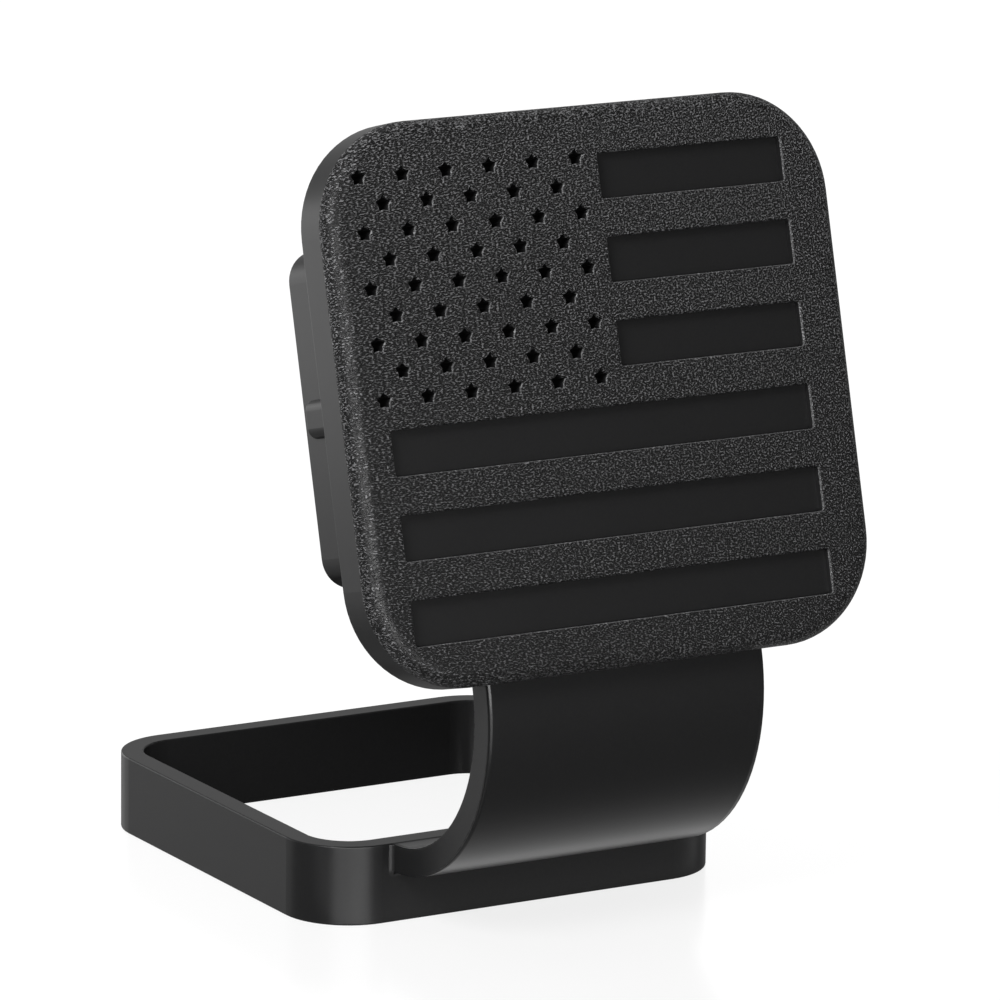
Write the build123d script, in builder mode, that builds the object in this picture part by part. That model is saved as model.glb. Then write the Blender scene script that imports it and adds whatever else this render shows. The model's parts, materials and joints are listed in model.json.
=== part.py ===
from build123d import *
from math import cos, pi, radians, sin
import os

# Hitch receiver cover, moulded in one piece of rubber: a face plate with a flag relief, a hollow
# plug behind it that fills the mouth of a square receiver tube, and a band that goes round the
# outside of the tube. A wide strap bends from the band's front wall up to the plate.
# It is modelled with the band lying flat and the plate leaning back over it.
# X runs along the plate's width, Y into the depth, Z up. The origin is the middle of the band's
# opening, on the underside. Lengths are millimetres, angles degrees.

# Square receiver tube that the cover fits
receiver_outside = 63.5
receiver_inside = 50.8

# Band round the receiver tube
band_clearance = 0.25
band_height = 12.0
band_wall = 3.5
band_corner_radius = 10.4
band_edge_radius = 0.25

# Strap that joins band and plate. Its inner side lies a small step inside the band's top and the
# plate's back.
strap_width = 46.6
strap_thickness = 4.25
strap_step = 0.1
strap_edge_radius = 0.25
strap_root_radius = 0.8
bend_inner_radius = 23.1

# Face plate
lean = 14.85
plate_width = 84.5
plate_height = 81.2
plate_thickness = 8.0
plate_corner_radius = 15.5
plate_front_radius = 2.4
plate_back_radius = 0.25

# Hollow plug that goes into the receiver tube
plug_clearance = 0.3
plug_depth = 37.4
plug_corner_radius = 4.7
plug_wall = 4.0
plug_end_radius = 0.25
plug_inside_radius = 2.0
plug_floor_radius = 1.5

# Gripping rib along each side of the plug, sunk in the wall by its root
rib_height = 5.8
rib_proud = 1.6
rib_root = 1.8
rib_radius = 1.6
rib_end_radius = 0.4
rib_rise = 0.25
rib_to_plug_end = 3.4

# Flag relief, placed from the plate's edges: sunk stripes with raised bars between them
stripe_count = 6
short_stripe_count = 3
stripe_height = 6.6
stripe_depth = 1.25
stripe_corner_radius = 0.45
stripe_rim_radius = 0.3
flag_top_margin = 7.25
flag_bottom_margin = 6.7
flag_left_margin = 6.45
flag_right_margin = 7.95

# Star field beside the short stripes: staggered rows, of six stars and of five in turn. The
# margins run to the middles of the outermost stars.
wide_row_stars = 6
wide_row_count = 5
star_column_pitch = 7.15
star_left_margin = 6.08
star_top_margin = 7.62
stars_to_short_stripes = 3.63
stars_to_long_stripes = 4.26
star_radius = 1.22
star_waist = 0.66
star_depth = 4.0
star_mouth_bevel = 0.25

# Widths that follow from the receiver tube
band_opening = receiver_outside + 2 * band_clearance
band_width = band_opening + 2 * band_wall
plug_width = receiver_inside - 2 * plug_clearance

# Edges of the relief, measured from the plate's middle
flag_top = plate_height / 2 - flag_top_margin
flag_left = flag_left_margin - plate_width / 2
flag_right = plate_width / 2 - flag_right_margin
flag_height = plate_height - flag_top_margin - flag_bottom_margin
bar_height = (flag_height - stripe_count * stripe_height) / (stripe_count - 1)
stripe_pitch = stripe_height + bar_height
stars_left = star_left_margin - plate_width / 2
stars_right = stars_left + (wide_row_stars - 1) * star_column_pitch
stars_top = plate_height / 2 - star_top_margin
stars_bottom = flag_top - short_stripe_count * stripe_pitch + stars_to_long_stripes
star_row_pitch = (stars_top - stars_bottom) / (2 * wide_row_count - 2)
short_stripe_left = stars_right + stars_to_short_stripes

# The bend turns about a line above the band's front wall, from level in the wall to upright in the
# plate. These points and directions lie in the YZ plane.
strap_top = band_height - strap_step
bend_outer_radius = bend_inner_radius + strap_thickness
bend_turn = 90 + lean
bend_middle = Vector(-band_width / 2, strap_top + bend_inner_radius)
up = Vector(sin(radians(lean)), cos(radians(lean)))
out = Vector(-up.Y, up.X)

# Planes of the plate's face, of its back and of the plug's open end, which all look out of the face
face_reach = bend_inner_radius - strap_step + plate_thickness
face_middle = bend_middle + out * face_reach + up * (plate_height / 2)
face_plane = Plane(
    origin=(0, face_middle.X, face_middle.Y),
    x_dir=(1, 0, 0),
    z_dir=(0, out.X, out.Y),
)
back_plane = face_plane.offset(-plate_thickness)
plug_end_plane = back_plane.offset(-plug_depth)
out_axis = Axis(face_plane.origin, face_plane.z_dir)


def star_corners(radius):
    """Corners of an upright five-pointed star, tips and waists in turn."""
    corners = []
    for number in range(10):
        reach = radius if number % 2 == 0 else radius * star_waist
        angle = pi / 2 + number * pi / 5
        corners.append((reach * cos(angle), reach * sin(angle)))
    return corners


# Band, with its edges softened
with BuildPart() as band:
    with BuildSketch(Plane.XY):
        RectangleRounded(band_width, band_width, band_corner_radius)
        inside_radius = band_corner_radius - band_wall
        RectangleRounded(band_opening, band_opening, inside_radius, mode=Mode.SUBTRACT)
    extrude(amount=band_height)
    fillet(band.faces().filter_by(Axis.Z).edges(), radius=band_edge_radius)

# Strap. Its section runs from inside the band's front wall to inside the plate.
with BuildPart() as strap:
    with BuildSketch(Plane.YZ):
        with BuildLine():
            outer = CenterArc(bend_middle, bend_outer_radius, 270, -bend_turn)
            inner = CenterArc(bend_middle, bend_inner_radius, 270, -bend_turn)
            band_root = Vector(band_wall / 2, 0)
            plate_root = up * plate_thickness
            Polyline(outer @ 0, outer @ 0 + band_root, inner @ 0 + band_root, inner @ 0)
            Polyline(outer @ 1, outer @ 1 + plate_root, inner @ 1 + plate_root, inner @ 1)
        make_face()
    extrude(amount=strap_width / 2, both=True)
    fillet(strap.faces().filter_by(Axis.X).edges(), radius=strap_edge_radius)

# Rib on the plug's right side, from near the plug's open end to the plate
with BuildPart() as rib:
    rib_middle = plug_width / 2 + (rib_proud - rib_root) / 2
    with BuildSketch(plug_end_plane.offset(rib_to_plug_end)):
        with Locations((rib_middle, rib_rise)):
            RectangleRounded(rib_proud + rib_root, rib_height, rib_radius)
    extrude(amount=plug_depth - rib_to_plug_end)
    fillet(rib.faces().sort_by(out_axis)[0].edges(), radius=rib_end_radius)

# Cutter for one star, with its bevelled mouth at the origin and its depth along -Z
with BuildPart() as star:
    with BuildSketch(Plane.XY):
        Polygon(*star_corners(star_radius + star_mouth_bevel), align=None)
    with BuildSketch(Plane.XY.offset(-star_mouth_bevel)) as star_neck:
        Polygon(*star_corners(star_radius), align=None)
    loft()
    extrude(star_neck.sketch, amount=star_mouth_bevel - star_depth)

# Face plate with the plug and the relief
with BuildPart() as plate:
    with BuildSketch(face_plane):
        RectangleRounded(plate_width, plate_height, plate_corner_radius)
    extrude(amount=-plate_thickness)
    plate_edges = plate.edges().group_by(out_axis)
    fillet(plate_edges[-1], radius=plate_front_radius)
    fillet(plate_edges[0], radius=plate_back_radius)

    # Plug, open at its end
    with BuildSketch(back_plane):
        RectangleRounded(plug_width, plug_width, plug_corner_radius)
    extrude(amount=-plug_depth)
    plug_inside = plug_width - 2 * plug_wall
    with BuildSketch(plug_end_plane):
        RectangleRounded(plug_inside, plug_inside, plug_inside_radius)
    extrude(amount=plug_depth, mode=Mode.SUBTRACT)
    floor_edges = plate.edges(Select.LAST).group_by(out_axis)[-1]
    fillet(floor_edges, radius=plug_floor_radius)
    fillet(plate.faces().sort_by(out_axis)[0].edges(), radius=plug_end_radius)

    # A rib on each side of the plug
    add(rib.part)
    mirror(rib.part, about=Plane.YZ)

    # Stripes, with softened rims
    with BuildSketch(face_plane):
        for number in range(stripe_count):
            left = short_stripe_left if number < short_stripe_count else flag_left
            height = flag_top - stripe_height / 2 - number * stripe_pitch
            with Locations(((left + flag_right) / 2, height)):
                RectangleRounded(flag_right - left, stripe_height, stripe_corner_radius)
    extrude(amount=-stripe_depth, mode=Mode.SUBTRACT)
    face = plate.faces().sort_by(out_axis)[-1]
    fillet(face.inner_wires().edges(), radius=stripe_rim_radius)

    # Stars
    star_grid = (star_column_pitch, 2 * star_row_pitch)
    wide_rows = GridLocations(*star_grid, wide_row_stars, wide_row_count)
    narrow_rows = GridLocations(*star_grid, wide_row_stars - 1, wide_row_count - 1)
    star_field_middle = ((stars_left + stars_right) / 2, (stars_top + stars_bottom) / 2)
    star_field = face_plane.location * Location(star_field_middle)
    star_places = [star_field * place for place in wide_rows.locations + narrow_rows.locations]
    with Locations(*star_places):
        add(star.part, mode=Mode.SUBTRACT)

# The whole moulding, with a small radius where the strap leaves the band's front wall
with BuildPart() as hitch_cover:
    add(band.part)
    add(strap.part)
    add(plate.part)
    touch = 0.001
    root_edges = (
        hitch_cover.edges()
        .filter_by_position(Axis.Y, -band_width / 2 - touch, -band_width / 2 + touch)
        .filter_by_position(Axis.X, -strap_width / 2 - touch, strap_width / 2 + touch)
        .filter_by_position(Axis.Z, strap_top - strap_thickness - touch, band_height - band_edge_radius)
    )
    fillet(root_edges, radius=strap_root_radius)

hitch_cover.part.label = "hitch_cover"
os.makedirs("parts", exist_ok=True)
export_step(hitch_cover.part, "parts/hitch_cover.step")
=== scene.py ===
"""Black rubber hitch receiver cover on a white studio floor.

The moulding itself is the CAD node. This scene gives it its rubber, leather-grained on the plate's
face and smooth elsewhere, and adds the floor, the lights and the camera. Lengths are metres.
"""
import json
from math import cos, radians, sin

import bpy
from mathutils import Matrix, Vector

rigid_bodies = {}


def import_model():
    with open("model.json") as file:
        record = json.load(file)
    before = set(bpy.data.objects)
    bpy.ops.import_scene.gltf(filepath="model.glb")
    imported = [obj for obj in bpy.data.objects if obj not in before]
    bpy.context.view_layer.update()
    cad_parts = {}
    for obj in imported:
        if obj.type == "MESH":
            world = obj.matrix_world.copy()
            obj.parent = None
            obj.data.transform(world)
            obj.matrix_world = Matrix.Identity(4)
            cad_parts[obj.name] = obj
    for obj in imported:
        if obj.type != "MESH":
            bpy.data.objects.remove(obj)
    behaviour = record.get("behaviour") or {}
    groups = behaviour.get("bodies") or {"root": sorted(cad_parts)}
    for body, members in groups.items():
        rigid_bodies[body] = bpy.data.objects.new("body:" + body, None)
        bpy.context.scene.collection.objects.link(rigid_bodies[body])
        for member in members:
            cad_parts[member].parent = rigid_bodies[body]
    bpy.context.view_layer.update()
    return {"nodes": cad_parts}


# Camera. Its view is turned from +Y towards +X, tipped down and rolled, in degrees. Sensor and lens
# are in millimetres.
CAMERA_AZIMUTH = 30.42
CAMERA_ELEVATION = 13.04
CAMERA_ROLL = 0.71
CAMERA_DISTANCE = 1.106
CAMERA_TARGET = Vector((0.0150, 0.0, 0.0523))
SENSOR_WIDTH = 36.0
LENS = 261.8

# Plate's face: its middle, lean, directions, rounded front edge and reach of the flag
FACE_MIDDLE = Vector((0.0, -0.05506, 0.08219))
LEAN = radians(14.85)
FACE_RIGHT = Vector((1.0, 0.0, 0.0))
FACE_UP = Vector((0.0, sin(LEAN), cos(LEAN)))
FACE_OUT = Vector((0.0, -cos(LEAN), sin(LEAN)))
FRONT_EDGE = 0.0024
FLAG_HALF_WIDTH = 0.0370
FLAG_HALF_HEIGHT = 0.0350

# Strap: half its width, where it begins in Y and ends in Z, and the rounding of its long edges
STRAP_HALF_WIDTH = 0.0233
STRAP_FRONT = -0.0356
STRAP_TOP = 0.0430
STRAP_EDGE = 0.0008

# Rubber colours and gloss
# Painted light and shade in the grain: a shaded colour for its grooves and a lit colour for its
# ridges
SHADED_GROOVE_COLOUR = (0.003, 0.003, 0.0031, 1.0)
LIT_RIDGE_COLOUR = (0.125, 0.125, 0.128, 1.0)
SMOOTH_DARK = (0.0065, 0.0065, 0.0067, 1.0)
SMOOTH_LIGHT = (0.0110, 0.0110, 0.0113, 1.0)
# Painted highlight on the stripes' rims
RIM_HIGHLIGHT_COLOUR = (0.18, 0.18, 0.184, 1.0)
RUBBER_SPECULAR = 0.14
SMOOTH_ROUGHNESS = 0.30
GRAIN_ROUGHNESS = 0.40
SPECK_SIZE = 0.00035
MOTTLE_SIZE = 1.0 / 60.0
MOTTLE_RANGE = 0.04

# Grain. Its ridges are where noise is above a threshold, which falls towards the face's top.
RIDGE_SIZE = 0.00034
GRAIN_HEIGHT = 0.00042
RIDGES_FROM = 0.46
RIDGES_FULL = 0.65
MORE_TOWARDS_TOP = 0.5
FINER_TOWARDS_RIGHT = 4.0
STRETCH_AT_MIDDLE = 1.5
STRETCH_TOWARDS_RIGHT = -5.0

# Depths below the face: where its skin ends, and the stripes' rims, where a highlight is painted
SKIN_DEPTH = 0.0004
SKIN_FULL = 0.0001
RIM_DEPTH = 0.00030

# Room. It is white for the camera. For all else it has these strengths, at the front and the back.
ROOM_FRONT = 0.3
ROOM_BACK = 0.5

# Floor. It glows for the camera, so that it is as white as the room. In gloss its glow is strongest
# at the foot of the band's front wall, fades over the reach in front of it and is low behind it.
FLOOR_HALF_SIZE = 3.0
FLOOR_COLOUR = (0.12, 0.12, 0.12, 1.0)
FLOOR_SPECULAR = 0.8
FLOOR_ROUGHNESS = 0.2
FLOOR_GLOW = 0.83
GLOSS_GLOW_FRONT = 0.30
GLOSS_GLOW_FOOT = 1.15
GLOSS_GLOW_BACK = 0.10
BAND_FRONT = -0.0355
GLOW_REACH = 0.036
GLOW_EDGE = 0.003

# Watts that light a white card, one metre from a lamp and square to it, to plain white
WHITE_CARD_WATTS = 9.87
WHITE = (1.0, 1.0, 1.0, 1.0)


def empty_the_scene():
    for item in list(bpy.data.objects):
        bpy.data.objects.remove(item)


def make_camera():
    azimuth, elevation = radians(CAMERA_AZIMUTH), radians(CAMERA_ELEVATION)
    roll = radians(CAMERA_ROLL)
    forward = Vector(
        (sin(azimuth) * cos(elevation), cos(azimuth) * cos(elevation), -sin(elevation))
    )
    level_right = Vector((cos(azimuth), -sin(azimuth), 0.0))
    level_up = level_right.cross(forward)
    right = cos(roll) * level_right + sin(roll) * level_up
    up = cos(roll) * level_up - sin(roll) * level_right
    data = bpy.data.cameras.new("camera")
    data.sensor_width = SENSOR_WIDTH
    data.lens = LENS
    camera = bpy.data.objects.new("camera", data)
    turn = Matrix((right, up, -forward)).transposed().to_4x4()
    camera.matrix_world = Matrix.Translation(CAMERA_TARGET - CAMERA_DISTANCE * forward) @ turn
    bpy.context.scene.collection.objects.link(camera)
    bpy.context.scene.camera = camera


def area_light(name, place, aim, size, level, matt=True):
    """A soft panel. A level of 1 lights a white card at the aim, square to it, to plain white.

    A panel that isn't matt shows in gloss only.
    """
    toward = Vector(aim) - Vector(place)
    data = bpy.data.lights.new(name, "AREA")
    data.shape = "RECTANGLE"
    data.size, data.size_y = size
    data.energy = level * WHITE_CARD_WATTS * toward.length_squared
    light = bpy.data.objects.new(name, data)
    turn = toward.to_track_quat("-Z", "Y").to_matrix().to_4x4()
    light.matrix_world = Matrix.Translation(place) @ turn
    light.visible_camera = False
    light.visible_diffuse = matt
    bpy.context.scene.collection.objects.link(light)


class Nodes:
    """Short-hand for making and joining shader nodes."""

    def __init__(self, tree):
        self.tree = tree
        tree.nodes.clear()

    def add(self, kind, **inputs):
        node = self.tree.nodes.new(kind)
        for name, value in inputs.items():
            self.put(node.inputs[name.replace("_", " ")], value)
        return node

    def put(self, socket, value):
        if isinstance(value, bpy.types.NodeSocket):
            self.tree.links.new(value, socket)
        else:
            socket.default_value = value

    def math(self, operation, *values):
        node = self.tree.nodes.new("ShaderNodeMath")
        node.operation = operation
        for socket, value in zip(node.inputs, values):
            self.put(socket, value)
        return node.outputs[0]

    def vector(self, operation, *values):
        node = self.tree.nodes.new("ShaderNodeVectorMath")
        node.operation = operation
        for socket, value in zip(node.inputs, values):
            self.put(socket, value)
        return node.outputs["Value" if operation == "DOT_PRODUCT" else "Vector"]

    def ramp(self, value, low, high):
        node = self.tree.nodes.new("ShaderNodeMapRange")
        node.interpolation_type = "SMOOTHSTEP"
        self.put(node.inputs["Value"], value)
        node.inputs["From Min"].default_value = low
        node.inputs["From Max"].default_value = high
        return node.outputs["Result"]

    def blend(self, factor, low, high):
        node = self.tree.nodes.new("ShaderNodeMix")
        node.data_type = "RGBA"
        self.put(node.inputs[0], factor)
        self.put(node.inputs[6], low)
        self.put(node.inputs[7], high)
        return node.outputs[2]


def new_nodes(name):
    material = bpy.data.materials.new(name)
    material.use_nodes = True
    return material, Nodes(material.node_tree)


def rubber_material():
    material, make = new_nodes("black_rubber_grained")
    place = make.add("ShaderNodeTexCoord").outputs["Object"]

    # Distances across the face, up it and out of it, from its middle
    from_middle = make.vector("SUBTRACT", place, FACE_MIDDLE)
    across = make.vector("DOT_PRODUCT", from_middle, FACE_RIGHT)
    along = make.vector("DOT_PRODUCT", from_middle, FACE_UP)
    height = make.vector("DOT_PRODUCT", from_middle, FACE_OUT)

    # The grain covers the face's skin, and the rounded edge outside the flag
    outside_flag = make.math(
        "MAXIMUM",
        make.math("GREATER_THAN", make.math("ABSOLUTE", across), FLAG_HALF_WIDTH),
        make.math("GREATER_THAN", make.math("ABSOLUTE", along), FLAG_HALF_HEIGHT),
    )
    top_skin = make.ramp(height, -SKIN_DEPTH, -SKIN_FULL)
    rounded_edge = make.ramp(height, -FRONT_EDGE - 0.0001, -FRONT_EDGE + 0.0002)
    grained = make.math("MAXIMUM", top_skin, make.math("MULTIPLY", outside_flag, rounded_edge))

    # The strap's long edges turn over as a quarter circle, which stops short of upright
    spot = make.add("ShaderNodeSeparateXYZ", Vector=place)
    aside = make.math("ABSOLUTE", spot.outputs["X"])
    past_edge = make.math("SUBTRACT", aside, STRAP_HALF_WIDTH - STRAP_EDGE)
    past_edge = make.math("MINIMUM", make.math("MAXIMUM", past_edge, 0.0), 0.98 * STRAP_EDGE)
    rise = make.math("SUBTRACT", STRAP_EDGE**2, make.math("MULTIPLY", past_edge, past_edge))
    on_strap = make.math(
        "MULTIPLY",
        make.math("LESS_THAN", spot.outputs["Y"], STRAP_FRONT),
        make.math("LESS_THAN", spot.outputs["Z"], STRAP_TOP),
    )
    turned_edge = make.add(
        "ShaderNodeBump", Strength=on_strap, Distance=1.0, Height=make.math("SQRT", rise)
    )

    # Winding ridges, drawn out across the face and finer towards its right
    stretch = make.math("MULTIPLY_ADD", across, STRETCH_TOWARDS_RIGHT, STRETCH_AT_MIDDLE)
    drawn_out = make.math("MULTIPLY", along, stretch)
    finer = make.math("MULTIPLY", across, across)
    finer = make.math("MULTIPLY_ADD", finer, FINER_TOWARDS_RIGHT, across)
    grain_place = make.add("ShaderNodeCombineXYZ", X=finer, Y=drawn_out, Z=height).outputs[0]
    noise = make.add("ShaderNodeTexNoise", Vector=grain_place, Scale=1.0 / RIDGE_SIZE, Detail=1.0)
    ridges = make.math("MULTIPLY_ADD", along, MORE_TOWARDS_TOP, noise.outputs["Fac"])
    ridges = make.ramp(ridges, RIDGES_FROM, RIDGES_FULL)
    grain_bump = make.add(
        "ShaderNodeBump", Strength=grained, Distance=GRAIN_HEIGHT, Height=ridges
    )
    make.put(grain_bump.inputs["Normal"], turned_edge.outputs["Normal"])

    # Painted light and shade: the ridges are painted lighter, as if lit, and the grooves darker, as
    # if shaded; as the ridges thicken towards the top, the face is painted lighter there
    specks = make.add("ShaderNodeTexNoise", Vector=place, Scale=1.0 / SPECK_SIZE, Detail=2.0)
    smooth = make.blend(specks.outputs["Fac"], SMOOTH_DARK, SMOOTH_LIGHT)
    grain = make.blend(ridges, SHADED_GROOVE_COLOUR, LIT_RIDGE_COLOUR)
    colour = make.blend(grained, smooth, grain)

    # Painted highlight: the stripes' rims are painted light, raggedly, where they face sideways or
    # up
    rim_highlight = make.math(
        "MULTIPLY",
        make.ramp(height, -1.2 * RIM_DEPTH, -0.8 * RIM_DEPTH),
        make.ramp(height, -0.1 * RIM_DEPTH, -0.4 * RIM_DEPTH),
    )
    rim_highlight = make.math("MULTIPLY", rim_highlight, make.math("SUBTRACT", 1.0, outside_flag))
    normal = make.add("ShaderNodeNewGeometry").outputs["Normal"]
    facing = make.add("ShaderNodeSeparateXYZ", Vector=normal).outputs
    facing = make.math("ADD", make.math("ABSOLUTE", facing["X"]), facing["Z"])
    rim_highlight = make.math("MULTIPLY", rim_highlight, make.ramp(facing, 0.3, 0.9))
    rim_highlight = make.math("MULTIPLY", rim_highlight, make.math("MULTIPLY_ADD", ridges, 0.6, 0.4))
    colour = make.blend(rim_highlight, colour, RIM_HIGHLIGHT_COLOUR)

    # The roughness is a little uneven
    mottle = make.add("ShaderNodeTexNoise", Vector=place, Scale=1.0 / MOTTLE_SIZE, Detail=4.0)
    lowest = SMOOTH_ROUGHNESS - MOTTLE_RANGE / 2
    rougher = GRAIN_ROUGHNESS - SMOOTH_ROUGHNESS
    roughness = make.math("MULTIPLY_ADD", grained, rougher, lowest)
    roughness = make.math("MULTIPLY_ADD", mottle.outputs["Fac"], MOTTLE_RANGE, roughness)
    shader = make.add(
        "ShaderNodeBsdfPrincipled",
        Base_Color=colour,
        Roughness=roughness,
        Normal=grain_bump.outputs["Normal"],
    )
    shader.inputs["Specular IOR Level"].default_value = RUBBER_SPECULAR
    make.add("ShaderNodeOutputMaterial", Surface=shader.outputs["BSDF"])
    return material


def floor_material():
    material, make = new_nodes("white_floor")
    path = make.add("ShaderNodeLightPath").outputs
    place = make.add("ShaderNodeTexCoord").outputs["Object"]
    depth = make.add("ShaderNodeSeparateXYZ", Vector=place).outputs["Y"]

    # Glow in gloss, in front of the band's foot and behind it
    front = make.ramp(depth, BAND_FRONT - GLOW_REACH, BAND_FRONT)
    front = make.math("MULTIPLY_ADD", front, GLOSS_GLOW_FOOT - GLOSS_GLOW_FRONT, GLOSS_GLOW_FRONT)
    behind = make.ramp(depth, BAND_FRONT - GLOW_EDGE, BAND_FRONT + GLOW_EDGE)
    behind = make.math("MULTIPLY", behind, make.math("SUBTRACT", GLOSS_GLOW_BACK, front))
    gloss_glow = make.math("ADD", front, behind)

    seen = make.math("MULTIPLY", path["Is Camera Ray"], FLOOR_GLOW)
    seen = make.math("MULTIPLY_ADD", path["Is Glossy Ray"], gloss_glow, seen)
    glow = make.add("ShaderNodeEmission", Strength=seen)
    sheet = make.add("ShaderNodeBsdfPrincipled", Roughness=FLOOR_ROUGHNESS)
    sheet.inputs["Base Color"].default_value = FLOOR_COLOUR
    sheet.inputs["Specular IOR Level"].default_value = FLOOR_SPECULAR
    both = make.add("ShaderNodeAddShader")
    make.put(both.inputs[0], glow.outputs[0])
    make.put(both.inputs[1], sheet.outputs[0])
    make.add("ShaderNodeOutputMaterial", Surface=both.outputs[0])
    return material


def make_floor():
    half = FLOOR_HALF_SIZE
    corners = [(-half, -half, 0), (half, -half, 0), (half, half, 0), (-half, half, 0)]
    mesh = bpy.data.meshes.new("floor")
    mesh.from_pydata(corners, [], [(0, 1, 2, 3)])
    mesh.materials.append(floor_material())
    floor = bpy.data.objects.new("floor", mesh)
    bpy.context.scene.collection.objects.link(floor)


def make_room():
    """A soft room round the object, white for the camera."""
    world = bpy.data.worlds.new("studio")
    bpy.context.scene.world = world
    world.use_nodes = True
    make = Nodes(world.node_tree)
    way = make.add("ShaderNodeTexCoord").outputs["Generated"]
    depth = make.ramp(make.vector("DOT_PRODUCT", way, (0.0, 1.0, 0.0)), -0.5, 0.5)
    light = make.math("MULTIPLY_ADD", depth, ROOM_BACK - ROOM_FRONT, ROOM_FRONT)
    seen = make.add("ShaderNodeLightPath").outputs["Is Camera Ray"]
    room = make.add("ShaderNodeBackground", Strength=light)
    white = make.add("ShaderNodeBackground", Strength=1.0)
    for background in (room, white):
        background.inputs["Color"].default_value = WHITE
    mix = make.add("ShaderNodeMixShader")
    make.put(mix.inputs[0], seen)
    make.put(mix.inputs[1], room.outputs[0])
    make.put(mix.inputs[2], white.outputs[0])
    make.add("ShaderNodeOutputWorld", Surface=mix.outputs[0])


empty_the_scene()
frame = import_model()
cover = frame["nodes"]["hitch_cover"]

make_camera()
make_room()
make_floor()

# Lamps: name, place, aim, size and level
area_light("overhead", (-0.1, 0.2, 0.9), (0.0, 0.0, 0.06), (0.7, 0.7), 0.15)
area_light("left_top", (-0.45, -0.25, 0.45), (0.0, -0.05, 0.06), (0.25, 0.25), 1.3)
area_light("front", (-0.15, -0.80, 0.12), (0.0, -0.04, 0.05), (0.4, 0.2), 0.35)
area_light("front_left", (-0.22, -0.52, 0.13), (0.0, -0.03, 0.05), (0.62, 0.15), 2.25, matt=False)
area_light("left_back", (-0.145, 0.26, 0.07), (0.0, -0.03, 0.07), (0.3, 0.14), 0.27)

cover.data.materials[0] = rubber_material()
bpy.context.scene.view_settings.view_transform = "Standard"
